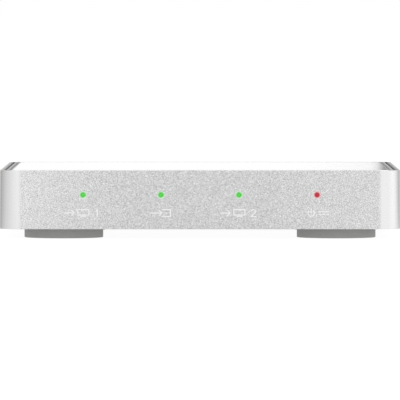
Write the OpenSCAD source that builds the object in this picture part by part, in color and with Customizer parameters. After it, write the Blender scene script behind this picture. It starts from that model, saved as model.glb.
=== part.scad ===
// Two-way video splitter: an aluminium frame with a white top cover, a screwed base plate on
// four round feet, and a board that carries three video sockets, a power jack and four indicators.
// Millimetres. X runs left to right, Y front to back, and Z up from the surface it stands on.

/* [Frame] */
// Width of the frame, left to right
body_w = 101; // [96:0.5:125]
// Depth of the frame, front to back
body_d = 90; // [80:0.5:120]
// Height of the frame above the feet
body_h = 14.85; // [14.2:0.05:20]
// Radius of the frame's upright corners
corner_r = 5; // [3.5:0.1:8]
// Thickness of the frame's walls
wall_t = 2.5; // [2:0.1:3.2]
// Chamfer on the frame's outer edges
edge_break = 0.1; // [0.05:0.05:0.5]

/* [Top cover] */
// Width of the aluminium rim round the cover
rim_t = 1.1; // [0.8:0.05:1.6]
// Width of the joint between the rim and the cover
joint_w = 0.5; // [0.3:0.05:0.8]
// Depth of the seal below the top of the rim
seal_drop = 0.5; // [0.2:0.05:1]
// Thickness of the cover
cover_t = 1.8; // [1.5:0.1:2.2]
// Bevel on the cover's upper edge
cover_bevel = 0.15; // [0.05:0.05:0.3]
// Width of the cover's lip outside its border groove
lip_w = 0.5; // [0.3:0.05:1]
// Width of the border groove
groove_w = 0.9; // [0.5:0.05:1.5]
// Depth of the border groove
groove_depth = 0.25; // [0.1:0.05:0.5]
// Thickness of the tape that bonds the cover
cover_tape_t = 0.2; // [0.1:0.05:0.4]
// Thickness of the shelf under the cover
shelf_t = 1.4; // [1:0.1:1.8]
// Reach of the shelf, measured from the outside of the frame
shelf_reach = 5; // [4:0.1:7]

/* [Base and feet] */
// Thickness of the base plate
base_t = 1.5; // [1.2:0.1:1.6]
// Width of the frame's edge round the base plate
base_rim_t = 1.2; // [0.9:0.05:1.5]
// Diameter of a foot
foot_d = 20; // [15:0.5:24]
// Height of the frame above the surface it stands on
foot_h = 2.5; // [1.6:0.1:4]
// Distance from the outside of the frame to the foot
foot_inset = 5.9; // [5.2:0.1:9]
// Depth of the pocket that locates a foot
foot_pocket = 0.4; // [0.2:0.05:0.6]
// Chamfer on the foot's lower edge
foot_chamfer = 0.1; // [0.05:0.05:0.6]
// Thickness of the tape that bonds a foot
foot_tape_t = 0.15; // [0.1:0.05:0.2]

/* [Fasteners] */
// Radius of a screw's shank
screw_r = 1; // [0.8:0.05:1.2]
// Radius of a screw's head
screw_head_r = 1.9; // [1.6:0.05:2.1]
// Length of a base screw's shank above its head
base_screw_l = 5; // [3:0.1:6]
// Length of a board screw's shank
board_screw_l = 4.5; // [3:0.1:5]
// Height of a board screw's head
board_head_h = 1; // [0.7:0.05:1.1]
// Distance from the outside of the frame to a base screw
screw_inset = 5.6; // [5:0.1:6.2]
// Radius of the boss round a base screw
boss_r = 2.6; // [2.2:0.1:3]
// Width of a lug that the board hangs from
lug_w = 6; // [5:0.1:8]
// Distance from the outside of the frame to a lug, front and back
lug_inset = 23; // [18:0.5:28]

/* [Ports] */
// Distance between neighbouring ports, and between neighbouring indicators
port_pitch = 19.65; // [18:0.05:21]
// Height of the ports' centre line above the frame's lower edge
port_z = 7.5; // [7.2:0.1:8.2]
// Distance of a port's mouth behind the frame's rear face
port_recess = 0.2; // [0:0.05:0.6]
// Gap round a port in the frame
port_gap = 0.25; // [0.15:0.05:0.5]
// Width of a video socket's opening
socket_w = 14; // [13:0.1:15]
// Height of a video socket's opening
socket_h = 4.55; // [4.3:0.05:4.8]
// Depth of a video socket
socket_depth = 12.5; // [11:0.1:14]
// Width of a video socket's slanted lower corner
socket_slant_w = 1.9; // [1.2:0.1:2.4]
// Height of a video socket's slanted lower corner
socket_slant_h = 1.6; // [1:0.1:2]
// Radius of a video socket's corners
socket_corner_r = 0.45; // [0.3:0.05:0.6]
// Thickness of a video socket's sheet-metal shell
shell_t = 0.4; // [0.3:0.05:0.5]
// Width of a video socket's tongue
tongue_w = 11; // [10.6:0.1:11.6]
// Thickness of a video socket's tongue
tongue_t = 1.95; // [1.8:0.05:2.1]
// Distance of the tongue's tip behind the mouth
tongue_recess = 1; // [0.6:0.1:1.5]
// Thickness, front to back, of the block that carries the tongue
block_l = 3.6; // [3:0.1:4.5]
// Width of a power jack
jack_w = 6.6; // [6.2:0.1:7.4]
// Length of a power jack behind the wall
jack_l = 9; // [8.6:0.1:11]
// Diameter of a power jack's round nose
jack_nose_d = 6.2; // [5.4:0.1:7]
// Diameter of a power jack's bore
jack_bore_d = 3.9; // [3.7:0.05:4.1]
// Diameter of a power jack's centre pin
jack_pin_d = 1.3; // [1.1:0.05:1.4]
// Height of a power jack above its centre line
jack_roof = 2.8; // [2.5:0.05:3]

/* [Indicators] */
// Height of the indicators above the frame's lower edge
led_z = 8.65; // [8:0.05:9.4]
// Diameter of a light pipe
pipe_d = 1.3; // [0.9:0.05:1.6]
// Width of the shallow dish round an indicator's hole
dish_w = 0.3; // [0.1:0.05:0.5]
// Depth of the shallow dish round an indicator's hole
dish_depth = 0.08; // [0.04:0.01:0.2]
// Width of a light pipe's upright leg
pipe_leg_w = 1.8; // [1.6:0.05:2.2]
// Thickness of a light pipe's collar
pipe_collar_t = 0.6; // [0.4:0.05:1]

/* [Board] */
// Thickness of the board
board_t = 1.6; // [1:0.1:1.6]
// Gap between the board and the frame
board_gap = 0.5; // [0.3:0.05:0.8]
// Distance from the rear face to the middle of the splitter chip
chip_back = 34; // [32:0.5:40]
// Width of the splitter chip
chip_w = 10; // [8:0.5:12]
// Width of the heat sink
sink_w = 14; // [12:0.5:18]
// Height of the heat sink
sink_h = 4; // [3:0.1:5]
// Number of fins on the heat sink
sink_fins = 6; // [4:1:8]

/* [Hidden] */
$fn = 64;

// Clearances
cut = 1;
least_corner_r = 0.6;
least_land = 0.1;
base_fit = 0.15;
foot_fit = 0.15;
seal_fit = 0.03;
tape_margin = 0.3;
screw_fit = 0.04;
board_hole_fit = 0.15;
insulator_fit = 0.04;
contact_fit = 0.03;
pipe_fit = 0.04;
leaf_fit = 0.05;
solder_gap = 0.15;

// Heights
frame_z = foot_h;
frame_top = frame_z + body_h;
shelf_top = frame_top - cover_t - cover_tape_t;
shelf_bottom = shelf_top - shelf_t;
base_top = frame_z + base_t;
foot_top = frame_z + foot_pocket;
port_axis_z = frame_z + port_z;
led_axis_z = frame_z + led_z;
board_top = port_axis_z - socket_h / 2 - shell_t;
board_bottom = board_top - board_t;
lead_stub = 0.8;
lead_bottom = board_bottom - lead_stub;

// Plan
inner_w = body_w - 2 * wall_t;
inner_d = body_d - 2 * wall_t;
front_y = -body_d / 2;
rear_y = body_d / 2;
mouth_y = rear_y - port_recess;
screw_x = body_w / 2 - screw_inset;
screw_y = body_d / 2 - screw_inset;
lug_x = inner_w / 2 - lug_w / 2;
lug_y = body_d / 2 - lug_inset;
foot_x = body_w / 2 - foot_inset - foot_d / 2;
foot_y = body_d / 2 - foot_inset - foot_d / 2;
port_count = 4;
port_x = [for (i = [0 : port_count - 1]) (i - (port_count - 1) / 2) * port_pitch];
chip_y = rear_y - chip_back;
board_w = inner_w - 2 * board_gap;
board_d = inner_d - 2 * board_gap;

// Cover, measured inward from the outside of the frame
cover_inset = rim_t + joint_w;
groove_inset = cover_inset + lip_w;
groove_r = max(corner_r - groove_inset, groove_w + least_land);
groove_deep_part = 0.35;

// Screws
head_cone_h = screw_head_r - screw_r;
base_screw_top = base_top + base_screw_l;
board_screw_top = board_bottom + board_screw_l;
pilot_spare = 0.5;
drive_w = 0.45;
drive_l = 2;
drive_depth = 0.6;

// Video socket, measured from the middle of its mouth
socket_board_z = board_top - port_axis_z;
socket_lead_z = lead_bottom - port_axis_z;
socket_opening = [
    [socket_slant_w - socket_w / 2, -socket_h / 2],
    [socket_w / 2 - socket_slant_w, -socket_h / 2],
    [socket_w / 2, socket_slant_h - socket_h / 2],
    [socket_w / 2, socket_h / 2],
    [-socket_w / 2, socket_h / 2],
    [-socket_w / 2, socket_slant_h - socket_h / 2]
];
corner_steps = 6;
mouth_flare = 0.25;
finger_w = 1.6;
finger_slot_w = 2.2;
finger_root = 7.2;
finger_knee = 3.8;
finger_tip = 2.6;
finger_slot_end = 2.2;
finger_overlap = 0.3;
finger_dip = 0.4;
finger_rise = 0.3;
top_finger_x = 3.4;
bottom_finger_x = 2.5;
tab_w = 1.6;
tab_front = 4.6;
tab_rear = 10;
tongue_chamfer = 0.3;
contact_pitch = 1;
contact_w = 0.28;
contact_t = 0.15;
contact_setback = 0.6;
contact_start = tongue_recess + contact_setback;
tail_gap = 0.4;
tail_foot_l = 0.9;
upper_contacts = 10;
lower_contacts = 9;

// Power jack, measured from the middle of its mouth
jack_wall_gap = 0.3;
jack_nose_l = wall_t - port_recess + jack_wall_gap;
jack_back = jack_nose_l + jack_l;
jack_back_wall = 1.4;
jack_bore_depth = jack_back - jack_back_wall;
jack_pin_recess = 0.9;
jack_pin_tip = 0.25;
jack_pin_fit = 0.02;
jack_root_step = 0.25;
jack_root_d = jack_pin_d + 2 * jack_root_step;
jack_blade_t = 0.4;
jack_blade_w = 1;
leaf_t = 0.25;
leaf_h = 1.8;
leaf_l = 5.4;
leaf_out = 0.3;
leaf_eye_r = 0.4;
leaf_eye_back = 1.1;
leaf_reach = 0.8;
leaf_bump_l = 1.6;
leaf_bump_at = 3;
leaf_slot_end = 0.4;
leaf_face_x = -jack_bore_d / 2 - leaf_out;
leaf_axis_x = leaf_face_x - leaf_eye_r;
leaf_axis_y = -jack_bore_depth + leaf_eye_back;
leaf_tip_y = leaf_axis_y + leaf_l;
leaf_bump_y = leaf_axis_y + leaf_bump_at;
terminal_t = 0.3;
terminal_w = 1;
terminal_x = leaf_axis_x - leaf_eye_r - leaf_fit - terminal_t;
switch_t = 0.2;
switch_w = 0.6;
switch_x = leaf_face_x + leaf_fit;
switch_y = leaf_tip_y - switch_w;

// Indicators
pipe_front = 0.05;
pipe_collar_w = 0.6;
pipe_hole_d = pipe_d + 2 * pipe_fit;
pipe_collar_d = pipe_d + 2 * pipe_collar_w;
pipe_leg_y = front_y + wall_t + pipe_collar_t;
led_w = 1.6;
led_d = 1;
led_h = 0.65;
led_base_h = 0.25;
led_lens_w = 1.1;
led_draft = 0.08;
led_y = pipe_leg_y + pipe_leg_w / 2;
leg_bottom = board_top + led_h + solder_gap;

// Electronics: back is measured from the rear face, and side from the middle of a port
chip_h = 1.2;
pad_t = 0.5;
sink_base_t = 1.2;
fin_t = 1;
mark_r = 0.35;
mark_depth = 0.1;
mould_draft = 0.15;
small_chip_h = 1.4;
small_chip_d = 3.9;
lead_pitch = 1.27;
lead_w = 0.42;
lead_t = 0.2;
lead_reach = 1;
lead_rise = 0.7;
memory_w = 4.9;
memory_back = 23.5;
control_w = 9.9;
control_side = 4;
control_back = 38;
crystal_side = -4;
crystal_back = 36;
crystal_l = 10.2;
crystal_d = 3.8;
crystal_h = 3.4;
crystal_flange = 0.4;
regulator_side = 5;
regulator_back = 33;
regulator_step = 10;
regulator_w = 6.5;
regulator_d = 3.5;
regulator_h = 1.6;
regulator_tab_w = 3;
regulator_pitch = 2.3;
inductor_side = -5;
inductor_back = 35;
inductor_w = 6;
inductor_r = 1;
inductor_h = 3;
core_r = 2;
core_gap = 0.3;
core_gap_depth = 0.4;
bulk_side = 4.5;
bulk_back = 25;
bulk_far_side = -5;
bulk_far_back = 44;
bulk_r = 3.15;
bulk_base_w = 6.6;
bulk_base_h = 0.9;
bulk_base_chamfer = 1.2;
bulk_h = 5.4;
bulk_groove_z = 1.9;
bulk_groove_h = 0.5;
bulk_groove_depth = 0.25;
diode_back = 17;
diode_w = 2.6;
diode_l = 4.3;
diode_h = 2.1;
surge_back = 16.4;
surge_side = 3.2;
surge_w = 2.5;
surge_d = 1;
surge_h = 0.5;
coupling_back = 18.8;
coupling_pitch = 1.5;
coupling_count = 8;
coupling_w = 0.8;
coupling_d = 1.6;
coupling_h = 0.8;
coupling_cap_l = 0.35;
coupling_cap_step = 0.04;

// A shape in the corner at +X and +Y, mirrored into all four corners
module in_four_corners()
    for (left = [0, 1], front = [0, 1])
        mirror([left, 0, 0]) mirror([0, front, 0]) children();

// Rectangle with round corners, centred
module round_rect(w, d, r) {
    square([w - 2 * r, d], center = true);
    square([w, d - 2 * r], center = true);
    for (sx = [-1, 1], sy = [-1, 1])
        translate([sx * (w / 2 - r), sy * (d / 2 - r)]) circle(r);
}

// Plate with round corners between two heights
module slab(w, d, r, z_low, z_high)
    translate([0, 0, z_low]) linear_extrude(z_high - z_low) round_rect(w, d, r);

// Radius of the frame's corner, followed a distance inside its outer face
function inset_r(inset) = max(corner_r - inset, least_corner_r);

// Plate that follows the frame's outline a distance inside its outer face
module inset_slab(inset, z_low, z_high)
    slab(body_w - 2 * inset, body_d - 2 * inset, inset_r(inset), z_low, z_high);

// Ring between two distances inside the frame's outer face
module inset_ring(outer_inset, inner_inset, z_low, z_high)
    difference() {
        inset_slab(outer_inset, z_low, z_high);
        inset_slab(inner_inset, z_low - cut, z_high + cut);
    }

// A profile carried round a rectangle with round corners; x is measured outward from the outline
module carry_round(w, d, r) {
    for (turn = [0 : 3]) {
        along = turn % 2 == 0 ? d - 2 * r : w - 2 * r;
        out = turn % 2 == 0 ? w / 2 : d / 2;
        rotate(90 * turn)
            translate([out, along / 2, 0]) rotate([90, 0, 0]) linear_extrude(along) children();
        rotate(90 * turn)
            translate([out - r, along / 2, 0])
                rotate_extrude(angle = 90) translate([r, 0]) children();
    }
}

// Direction of a vector
function unit(v) = v / norm(v);

// Convex outline, listed counter-clockwise, with every edge moved outward by t
function grown(points, t) = let (n = len(points)) [
    for (i = [0 : n - 1]) let (
        before = unit(points[i] - points[(i + n - 1) % n]),
        after = unit(points[(i + 1) % n] - points[i]),
        out_before = [before[1], -before[0]],
        out_after = [after[1], -after[0]]
    ) points[i] + (out_before + out_after) * t / (1 + out_before * out_after)
];

// The same outline with its corners rounded to radius r, each by a number of steps round an arc
function rounded(points, r) = let (n = len(points), core = grown(points, -r)) [
    for (i = [0 : n - 1]) let (
        before = points[i] - points[(i + n - 1) % n],
        after = points[(i + 1) % n] - points[i],
        start = atan2(-before[0], before[1]),
        turn = atan2(cross(before, after), before * after)
    ) for (k = [0 : corner_steps]) let (
        angle = start + turn * k / corner_steps
    ) core[i] + r * [cos(angle), sin(angle)]
];

// Outline of a video socket's opening, grown by t all round
module socket_profile(t) polygon(rounded(grown(socket_opening, t), socket_corner_r + t));

// A flat outline pushed from the mouth of a port towards the front of the part
module push_in(depth) rotate([90, 0, 0]) linear_extrude(depth) children();

// Profile seen from the right, as points of [y, z], given a width and centred across X
module across(width, points)
    translate([-width / 2, 0, 0])
        rotate([90, 0, 90]) linear_extrude(width) polygon(points);

// Frame

module body_frame()
    color("silver") difference() {
        union() {
            frame_walls();
            in_four_corners() screw_boss();
            in_four_corners() board_lug();
        }
        in_four_corners() {
            screw_pilot(screw_x, screw_y, base_top, base_screw_top);
            screw_pilot(lug_x, lug_y, board_top, board_screw_top);
        }
        for (x = port_x)
            translate([x, front_y - cut, led_axis_z]) rotate([-90, 0, 0]) indicator_hole();
        for (i = [0 : 2])
            at_port(i) translate([0, port_recess + cut, 0]) push_in(wall_t + 2 * cut)
                socket_profile(shell_t + port_gap);
        at_port(3) translate([0, port_recess + cut, 0]) push_in(wall_t + 2 * cut)
            circle(d = jack_nose_d + 2 * port_gap);
    }

// Hole for a light pipe, with a shallow dish in the front face round it
module indicator_hole() {
    cylinder(d = pipe_hole_d, h = wall_t + 2 * cut);
    cylinder(d1 = pipe_hole_d + 2 * dish_w * (1 + cut / dish_depth), d2 = pipe_hole_d, h = dish_depth + cut);
}

module frame_walls()
    difference() {
        inset_slab(0, frame_z, frame_top);
        inset_slab(wall_t, frame_z - cut, shelf_bottom);
        inset_slab(shelf_reach, shelf_bottom - cut, frame_top + cut);
        inset_slab(rim_t, shelf_top, frame_top + cut);
        inset_slab(base_rim_t, frame_z - cut, base_top);
        edge_cut(frame_top, 1);
        edge_cut(frame_z, -1);
    }

// Chamfer round the frame's upper (1) or lower (-1) outer edge
module edge_cut(z, side)
    carry_round(body_w, body_d, corner_r) translate([0, z])
        polygon([
            [cut, -side * (edge_break + cut)],
            [cut, side * cut],
            [-edge_break - cut, side * cut]
        ]);

// Post that fills a corner behind the base screw
module screw_boss()
    translate([0, 0, base_top]) linear_extrude(shelf_top - base_top) intersection() {
        translate([screw_x, screw_y]) {
            circle(boss_r);
            translate([-boss_r, 0]) square([boss_r + screw_inset - wall_t / 2, screw_inset - wall_t / 2]);
            translate([0, -boss_r]) square([screw_inset - wall_t / 2, boss_r + screw_inset - wall_t / 2]);
        }
        round_rect(body_w - wall_t, body_d - wall_t, inset_r(wall_t / 2));
    }

// Post on a side wall that the board hangs from
module board_lug()
    translate([lug_x, lug_y, board_top]) linear_extrude(shelf_top - board_top) {
        circle(d = lug_w);
        translate([0, -lug_w / 2]) square([lug_w / 2 + wall_t / 2, lug_w]);
    }

module screw_pilot(x, y, z_low, z_high)
    translate([x, y, z_low - cut]) cylinder(r = screw_r + screw_fit, h = z_high + pilot_spare - z_low + cut);

// Moves a piece to a place on the board: a distance beside a port and a distance in front of the rear face
module on_board(i, side, back) translate([port_x[i] + side, rear_y - back, board_top]) children();

// Moves a shape that is drawn round the middle of a port's mouth to that port
module at_port(i) translate([port_x[i], mouth_y, port_axis_z]) children();

// Top cover

module top_cover()
    color("white") difference() {
        inset_slab(cover_inset, frame_top - cover_t, frame_top);
        carry_round(body_w - 2 * cover_inset, body_d - 2 * cover_inset, inset_r(cover_inset))
            translate([0, frame_top])
                polygon([[cut, -cover_bevel - cut], [cut, cut], [-cover_bevel - cut, cut]]);
        carry_round(body_w - 2 * groove_inset, body_d - 2 * groove_inset, groove_r)
            translate([0, frame_top])
                polygon([
                    [0, cut], [0, 0],
                    [-groove_deep_part * groove_w, -groove_depth],
                    [-groove_w, 0], [-groove_w, cut]
                ]);
    }

module top_seal()
    color("dimgray")
        inset_ring(rim_t + seal_fit, cover_inset - seal_fit, shelf_top, frame_top - seal_drop);

module cover_tape()
    color("gray")
        inset_ring(cover_inset + tape_margin, shelf_reach - tape_margin, shelf_top, shelf_top + cover_tape_t);

// Base

module base_plate()
    color("gainsboro") difference() {
        inset_slab(base_rim_t + base_fit, frame_z, base_top);
        in_four_corners() {
            translate([foot_x, foot_y, frame_z - cut])
                cylinder(d = foot_d + 2 * foot_fit, h = foot_pocket + cut);
            translate([screw_x, screw_y, frame_z]) {
                translate([0, 0, -cut]) cylinder(r = screw_r + board_hole_fit, h = base_t + 2 * cut);
                rotate_extrude() polygon([
                    [0, -cut], [screw_head_r + screw_fit + cut, -cut],
                    [screw_r + screw_fit, head_cone_h], [0, head_cone_h]
                ]);
            }
        }
    }

module base_screws()
    color("lightgray") in_four_corners() translate([screw_x, screw_y, frame_z]) difference() {
        rotate_extrude() polygon([
            [0, 0], [screw_head_r, 0], [screw_r, head_cone_h],
            [screw_r, base_screw_top - frame_z], [0, base_screw_top - frame_z]
        ]);
        cross_drive();
    }

// Cross-shaped recess in a screw's head, which faces down
module cross_drive()
    for (turn = [0, 90])
        rotate(turn) translate([0, 0, (drive_depth - cut) / 2])
            cube([drive_l, drive_w, drive_depth + cut], center = true);

module foot()
    color("gray") translate([foot_x, foot_y, 0]) rotate_extrude() polygon([
        [0, 0], [foot_d / 2 - foot_chamfer, 0], [foot_d / 2, foot_chamfer],
        [foot_d / 2, foot_top - foot_tape_t], [0, foot_top - foot_tape_t]
    ]);

module rear_right_foot() foot();
module rear_left_foot() mirror([1, 0, 0]) foot();
module front_right_foot() mirror([0, 1, 0]) foot();
module front_left_foot() mirror([1, 0, 0]) mirror([0, 1, 0]) foot();

module foot_tapes()
    color("whitesmoke") in_four_corners() translate([foot_x, foot_y, foot_top - foot_tape_t])
        cylinder(d = foot_d - 2 * tape_margin, h = foot_tape_t);

// Board

module main_board()
    color("darkgreen") difference() {
        translate([-board_w / 2, -board_d / 2, board_bottom]) cube([board_w, board_d, board_t]);
        in_four_corners() {
            translate([
                screw_x - boss_r - board_gap, screw_y - boss_r - board_gap, board_bottom - cut
            ]) cube([2 * screw_inset, 2 * screw_inset, board_t + 2 * cut]);
            translate([lug_x, lug_y, board_bottom - cut])
                cylinder(r = screw_r + board_hole_fit, h = board_t + 2 * cut);
        }
        for (i = [0 : 2]) at_port(i) shell_tabs(board_hole_fit);
        at_port(3) {
            pin_blade(board_hole_fit);
            terminal_blade(board_hole_fit);
            switch_blade(board_hole_fit);
        }
    }

module board_screws()
    color("lightgray") in_four_corners() translate([lug_x, lug_y, board_bottom]) difference() {
        union() {
            translate([0, 0, -board_head_h]) cylinder(r = screw_head_r, h = board_head_h);
            cylinder(r = screw_r, h = board_screw_l);
        }
        translate([0, 0, -board_head_h]) cross_drive();
    }

// Video sockets

module socket_shell()
    color("lightsteelblue") {
        difference() {
            push_in(socket_depth) socket_profile(shell_t);
            translate([0, cut, 0]) push_in(socket_depth + 2 * cut) socket_profile(0);
            mouth_cut();
            at_fingers() translate([-finger_slot_w / 2, -finger_root, socket_h / 2 - cut])
                cube([finger_slot_w, finger_root - finger_slot_end, shell_t + 2 * cut]);
        }
        at_fingers() spring_finger();
        shell_tabs(0);
    }

// Flare that leads a plug into the shell, cut along each straight edge of the opening
module mouth_cut()
    for (i = [0 : len(socket_opening) - 1]) {
        start = socket_opening[i];
        edge = socket_opening[(i + 1) % len(socket_opening)] - start;
        middle = start + edge / 2;
        translate([middle[0], 0, middle[1]]) rotate([0, -atan2(edge[1], edge[0]), 0])
            across(norm(edge) - 2 * socket_corner_r, [
                [-mouth_flare - shell_t, shell_t], [cut, shell_t], [cut, -mouth_flare - cut]
            ]);
    }

// The shell's four spring fingers: two in its upper wall and two in its lower wall
module at_fingers()
    for (side = [-1, 1]) {
        translate([side * top_finger_x, 0, 0]) children();
        mirror([0, 0, 1]) translate([side * bottom_finger_x, 0, 0]) children();
    }

// Tongue of the shell's wall, bent inward to a knee and out again at its tip
module spring_finger()
    across(finger_w, [
        [-finger_root - finger_overlap, socket_h / 2 + shell_t],
        [-finger_root, socket_h / 2 + shell_t],
        [-finger_knee, socket_h / 2 + shell_t - finger_dip],
        [-finger_tip, socket_h / 2 + shell_t - finger_dip + finger_rise],
        [-finger_tip, socket_h / 2 - finger_dip + finger_rise],
        [-finger_knee, socket_h / 2 - finger_dip],
        [-finger_root, socket_h / 2],
        [-finger_root - finger_overlap, socket_h / 2]
    ]);

// The shell's four legs through the board, or their slots when they are grown by a fit
module shell_tabs(fit)
    for (side = [0, 1], back = [tab_front, tab_rear])
        mirror([side, 0, 0])
            translate([socket_w / 2 - fit, -back - tab_w / 2 - fit, socket_lead_z - fit])
                cube([shell_t + 2 * fit, tab_w + 2 * fit, -socket_lead_z + fit]);

module socket_insulator()
    color("black") difference() {
        union() {
            translate([0, block_l - socket_depth, 0]) push_in(block_l) socket_profile(-insulator_fit);
            across(tongue_w, [
                [-tongue_recess - tongue_chamfer, tongue_t / 2],
                [-tongue_recess, tongue_t / 2 - tongue_chamfer],
                [-tongue_recess, tongue_chamfer - tongue_t / 2],
                [-tongue_recess - tongue_chamfer, -tongue_t / 2],
                [-socket_depth + block_l / 2, -tongue_t / 2],
                [-socket_depth + block_l / 2, tongue_t / 2]
            ]);
        }
        at_contacts(upper_contacts) contact_slot();
        mirror([0, 0, 1]) at_contacts(lower_contacts) contact_slot();
    }

// Passage for one contact through the block behind the tongue
module contact_slot()
    translate([-contact_w / 2 - contact_fit, -socket_depth - cut, tongue_t / 2])
        cube([contact_w + 2 * contact_fit, block_l + 2 * cut, contact_t + contact_fit]);

module at_contacts(count)
    for (i = [0 : count - 1])
        translate([(i - (count - 1) / 2) * contact_pitch, 0, 0]) children();

module socket_contacts()
    color("gold") {
        at_contacts(upper_contacts) socket_contact(tongue_t / 2);
        at_contacts(lower_contacts) socket_contact(-tongue_t / 2 - contact_t);
    }

// One contact: a strip along the tongue, out through the block and down to a foot on the board
module socket_contact(z_low) {
    tail_y = -socket_depth - tail_gap;
    across(contact_w, [
        [-contact_start, z_low], [-contact_start, z_low + contact_t],
        [tail_y - contact_t, z_low + contact_t], [tail_y - contact_t, socket_board_z + contact_t],
        [tail_y - contact_t - tail_foot_l, socket_board_z + contact_t],
        [tail_y - contact_t - tail_foot_l, socket_board_z],
        [tail_y, socket_board_z], [tail_y, z_low]
    ]);
}

module output_1_shell() at_port(0) socket_shell();
module input_shell() at_port(1) socket_shell();
module output_2_shell() at_port(2) socket_shell();
module output_1_insulator() at_port(0) socket_insulator();
module input_insulator() at_port(1) socket_insulator();
module output_2_insulator() at_port(2) socket_insulator();
module output_1_contacts() at_port(0) socket_contacts();
module input_contacts() at_port(1) socket_contacts();
module output_2_contacts() at_port(2) socket_contacts();

// Power jack

module jack_body()
    color("dimgray") at_port(3) difference() {
        union() {
            push_in(jack_nose_l) circle(d = jack_nose_d);
            translate([-jack_w / 2, -jack_back, socket_board_z])
                cube([jack_w, jack_l, jack_roof - socket_board_z]);
        }
        translate([0, cut, 0]) push_in(jack_bore_depth + cut) circle(d = jack_bore_d);
        push_in(jack_back + cut) circle(d = jack_root_d + 2 * jack_pin_fit);
        translate([-jack_w, -jack_bore_depth + leaf_slot_end / 2, -leaf_h / 2 - board_hole_fit])
            cube([
                jack_w - jack_bore_d / 4,
                leaf_tip_y + leaf_slot_end / 2 + jack_bore_depth,
                leaf_h + 2 * board_hole_fit
            ]);
        terminal_blade(leaf_fit);
        switch_blade(leaf_fit);
    }

module jack_pin()
    color("lightgray") at_port(3) {
        rotate([90, 0, 0]) rotate_extrude() polygon([
            [0, jack_pin_recess], [jack_pin_d / 2 - jack_pin_tip, jack_pin_recess],
            [jack_pin_d / 2, jack_pin_recess + jack_pin_tip],
            [jack_pin_d / 2, jack_bore_depth], [jack_root_d / 2, jack_bore_depth],
            [jack_root_d / 2, jack_back + jack_blade_t], [0, jack_back + jack_blade_t]
        ]);
        pin_blade(0);
    }

// Leg of the centre pin, or its slot when it is grown by a fit
module pin_blade(fit)
    translate([-jack_blade_w / 2 - fit, -jack_back - jack_blade_t - leaf_fit - fit, socket_lead_z - fit])
        cube([jack_blade_w + 2 * fit, jack_blade_t + 2 * fit, -socket_lead_z + fit]);

// Leaf that presses on the plug's sleeve, turning about the eye at its inner end
module jack_leaf()
    color("goldenrod") at_port(3) translate([0, 0, -leaf_h / 2]) linear_extrude(leaf_h) {
        translate([leaf_axis_x, leaf_axis_y]) circle(leaf_eye_r);
        polygon([
            [leaf_face_x - leaf_t, leaf_axis_y],
            [leaf_face_x, leaf_axis_y],
            [leaf_face_x, leaf_bump_y - leaf_bump_l / 2],
            [leaf_face_x + leaf_reach, leaf_bump_y],
            [leaf_face_x, leaf_bump_y + leaf_bump_l / 2],
            [leaf_face_x, leaf_tip_y],
            [leaf_face_x - leaf_t, leaf_tip_y],
            [leaf_face_x - leaf_t, leaf_bump_y + leaf_bump_l / 2],
            [leaf_face_x - leaf_t + leaf_reach, leaf_bump_y],
            [leaf_face_x - leaf_t, leaf_bump_y - leaf_bump_l / 2]
        ]);
    }

module jack_terminal() color("goldenrod") at_port(3) terminal_blade(0);

// Leg behind the leaf's eye, or its slot when it is grown by a fit
module terminal_blade(fit)
    translate([terminal_x - fit, leaf_axis_y - terminal_w / 2 - fit, socket_lead_z - fit])
        cube([terminal_t + 2 * fit, terminal_w + 2 * fit, leaf_h / 2 - socket_lead_z + fit]);

module jack_switch_contact() color("goldenrod") at_port(3) switch_blade(0);

// Leg that the leaf rests on while no plug is in, or its slot when it is grown by a fit
module switch_blade(fit)
    translate([switch_x - fit, switch_y - fit, socket_lead_z - fit])
        cube([switch_t + 2 * fit, switch_w + 2 * fit, leaf_h / 2 - socket_lead_z + fit]);

// Indicators

// Clear pipe: from the front face, through a collar, to a leg with a slanted mirror over the diode
module light_pipe(i)
    translate([port_x[i], 0, 0]) {
        translate([0, front_y + pipe_front, led_axis_z]) rotate([-90, 0, 0])
            cylinder(d = pipe_d, h = pipe_leg_y + (pipe_leg_w - pipe_d) / 2 - front_y - pipe_front);
        translate([0, front_y + wall_t, led_axis_z]) rotate([-90, 0, 0])
            cylinder(d = pipe_collar_d, h = pipe_collar_t);
        across(pipe_leg_w, [
            [pipe_leg_y, leg_bottom],
            [pipe_leg_y + pipe_leg_w, leg_bottom],
            [pipe_leg_y + pipe_leg_w, led_axis_z - pipe_leg_w / 2],
            [pipe_leg_y, led_axis_z + pipe_leg_w / 2]
        ]);
    }

// Light-emitting diode: a base and a slightly drafted lens
module led(i)
    translate([port_x[i], led_y, board_top]) {
        translate([-led_w / 2, -led_d / 2, 0]) cube([led_w, led_d, led_base_h]);
        across(led_lens_w, [
            [-led_d / 2, led_base_h], [led_d / 2, led_base_h],
            [led_d / 2 - led_draft, led_h], [led_draft - led_d / 2, led_h]
        ]);
    }

module output_1_light_pipe() color("palegreen") light_pipe(0);
module input_light_pipe() color("palegreen") light_pipe(1);
module output_2_light_pipe() color("palegreen") light_pipe(2);
module power_light_pipe() color("salmon") light_pipe(3);
module output_1_led() color("green") led(0);
module input_led() color("green") led(1);
module output_2_led() color("green") led(2);
module power_led() color("red") led(3);

// Electronics

// Moulded block with its sides drafted from a parting line at half height
module moulded(w, d, h, draft = mould_draft)
    across(w, [
        [draft - d / 2, 0], [d / 2 - draft, 0], [d / 2, h / 2],
        [d / 2 - draft, h], [draft - d / 2, h], [-d / 2, h / 2]
    ]);

// Chip with a round mark in its first corner
module chip(w, d, h, draft)
    difference() {
        moulded(w, d, h, draft);
        translate([3 * mark_r - w / 2, d / 2 - 3 * mark_r, h - mark_depth]) cylinder(r = mark_r, h = cut);
    }

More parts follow.
